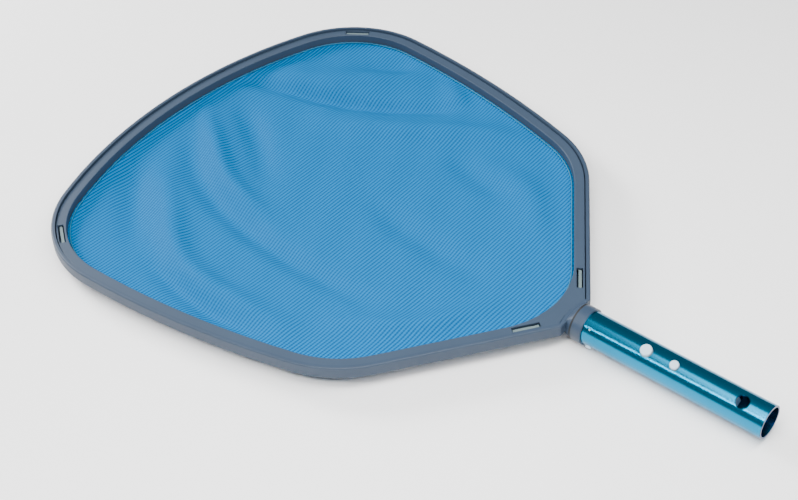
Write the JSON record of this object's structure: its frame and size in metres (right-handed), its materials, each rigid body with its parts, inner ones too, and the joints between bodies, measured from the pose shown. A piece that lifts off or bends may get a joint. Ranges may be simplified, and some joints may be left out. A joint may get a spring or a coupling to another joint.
{
  "type": "leaf skimmer net",
  "caption": "Flat leaf skimmer head: fine net clamped in a plastic frame, with a metal handle tube whose spring buttons lock it into a telescopic pole.",
  "frame": {"origin": "centre of the handle tube's open end", "axes": "+X along the handle axis out of its open end, +Z out of the side the leaves land on, head symmetric about the XZ plane"},
  "size_m": [0.653, 0.4402, 0.0342],
  "materials": {
    "frame_plastic": "moulded blue-grey plastic, satin",
    "ring_plastic": "moulded blue-grey plastic, satin",
    "tab_plastic": "pale grey-green moulded plastic",
    "net_cloth": "fine woven blue polyester mesh",
    "hem_thread": "blue stitched hem",
    "washer_rubber": "black rubber",
    "collar_plastic": "moulded blue-grey plastic, satin",
    "tube_metal": "bright blue anodised, polished",
    "rivet_white": "white plastic rivet",
    "rivet_steel": "plain steel rivet",
    "clip_plastic": "white moulded plastic",
    "button_plastic": "white moulded plastic"
  },
  "bodies": {
    "skimmer": {"clamp_ring": "ring_plastic", "clip_bend": "clip_plastic", "collar_ring": "collar_plastic", "handle_tube": "tube_metal", "lower_frame": "frame_plastic", "neck_washer": "washer_rubber", "net_hem": "hem_thread", "net_mesh": "net_cloth", "rivet_large": "rivet_white", "rivet_small": "rivet_steel", "snap_tab_front_left": "tab_plastic", "snap_tab_front_right": "tab_plastic", "snap_tab_rear_left": "tab_plastic", "snap_tab_rear_right": "tab_plastic"},
    "clip_top": {"clip_arm_top": "clip_plastic", "lock_button_top": "button_plastic", "thumb_button_top": "button_plastic"},
    "clip_bottom": {"clip_arm_bottom": "clip_plastic", "lock_button_bottom": "button_plastic", "thumb_button_bottom": "button_plastic"}
  },
  "joints": [
    {"name": "press_top", "type": "hinge", "parent": "skimmer", "child": "clip_top", "pos_m": [-0.0405, -0.00411, 0.00923], "axis": [0, -0.9135, -0.4067], "range_deg": [0, 3.5], "stiffness_Nm_per_rad": 8},
    {"name": "press_bottom", "type": "hinge", "parent": "skimmer", "child": "clip_bottom", "pos_m": [-0.0405, 0.00411, -0.00923], "axis": [0, 0.9135, 0.4067], "range_deg": [0, 3.5], "stiffness_Nm_per_rad": 8}
  ]
}
